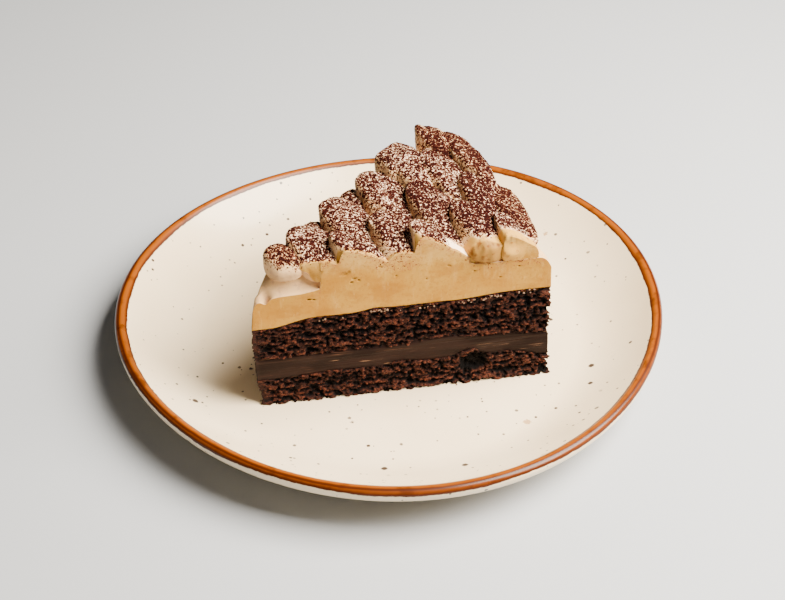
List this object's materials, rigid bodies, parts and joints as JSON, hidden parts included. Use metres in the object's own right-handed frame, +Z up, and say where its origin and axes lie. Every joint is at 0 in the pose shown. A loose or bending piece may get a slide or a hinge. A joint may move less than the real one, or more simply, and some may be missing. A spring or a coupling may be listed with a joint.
{
  "type": "tiramisu slice",
  "caption": "Wedge of layered coffee and chocolate cake with cocoa-dusted piped cream dollops, on a round speckled plate with a painted rim",
  "frame": {"origin": "middle of the outline of the plate, on the surface that it stands on; the axis of the plate's foot ring is at x 1.2 mm, y 1.0 mm, as its rim is a little out of round", "axes": "+Z up; +X to the right along the table as the picture is seen; +Y away from the viewer, behind the slice"},
  "size_m": [0.2134, 0.2092, 0.0784],
  "materials": {
    "glaze": "glazed stoneware, warm white with small dark specks and a painted orange-brown rim",
    "sponge": "very dark torn chocolate sponge",
    "filling": "smooth dull dark chocolate filling with knife streaks",
    "mousse": "smooth set coffee mousse with small air holes",
    "dusted_cream": "pale coffee cream under a speckled dusting of cocoa"
  },
  "bodies": {
    "root": {"plate": "glaze", "sponge_bottom": "sponge", "chocolate_filling": "filling", "sponge_top": "sponge", "coffee_mousse": "mousse", "dollop_01": "dusted_cream", "dollop_02": "dusted_cream", "dollop_03": "dusted_cream", "dollop_04": "dusted_cream", "dollop_05": "dusted_cream", "dollop_06": "dusted_cream", "dollop_07": "dusted_cream", "dollop_08": "dusted_cream", "dollop_09": "dusted_cream", "dollop_10": "dusted_cream", "dollop_11": "dusted_cream", "dollop_12": "dusted_cream", "dollop_13": "dusted_cream", "dollop_14": "dusted_cream", "dollop_15": "dusted_cream", "dollop_16": "dusted_cream", "dollop_17": "dusted_cream", "dollop_18": "dusted_cream"}
  },
  "joints": []
}
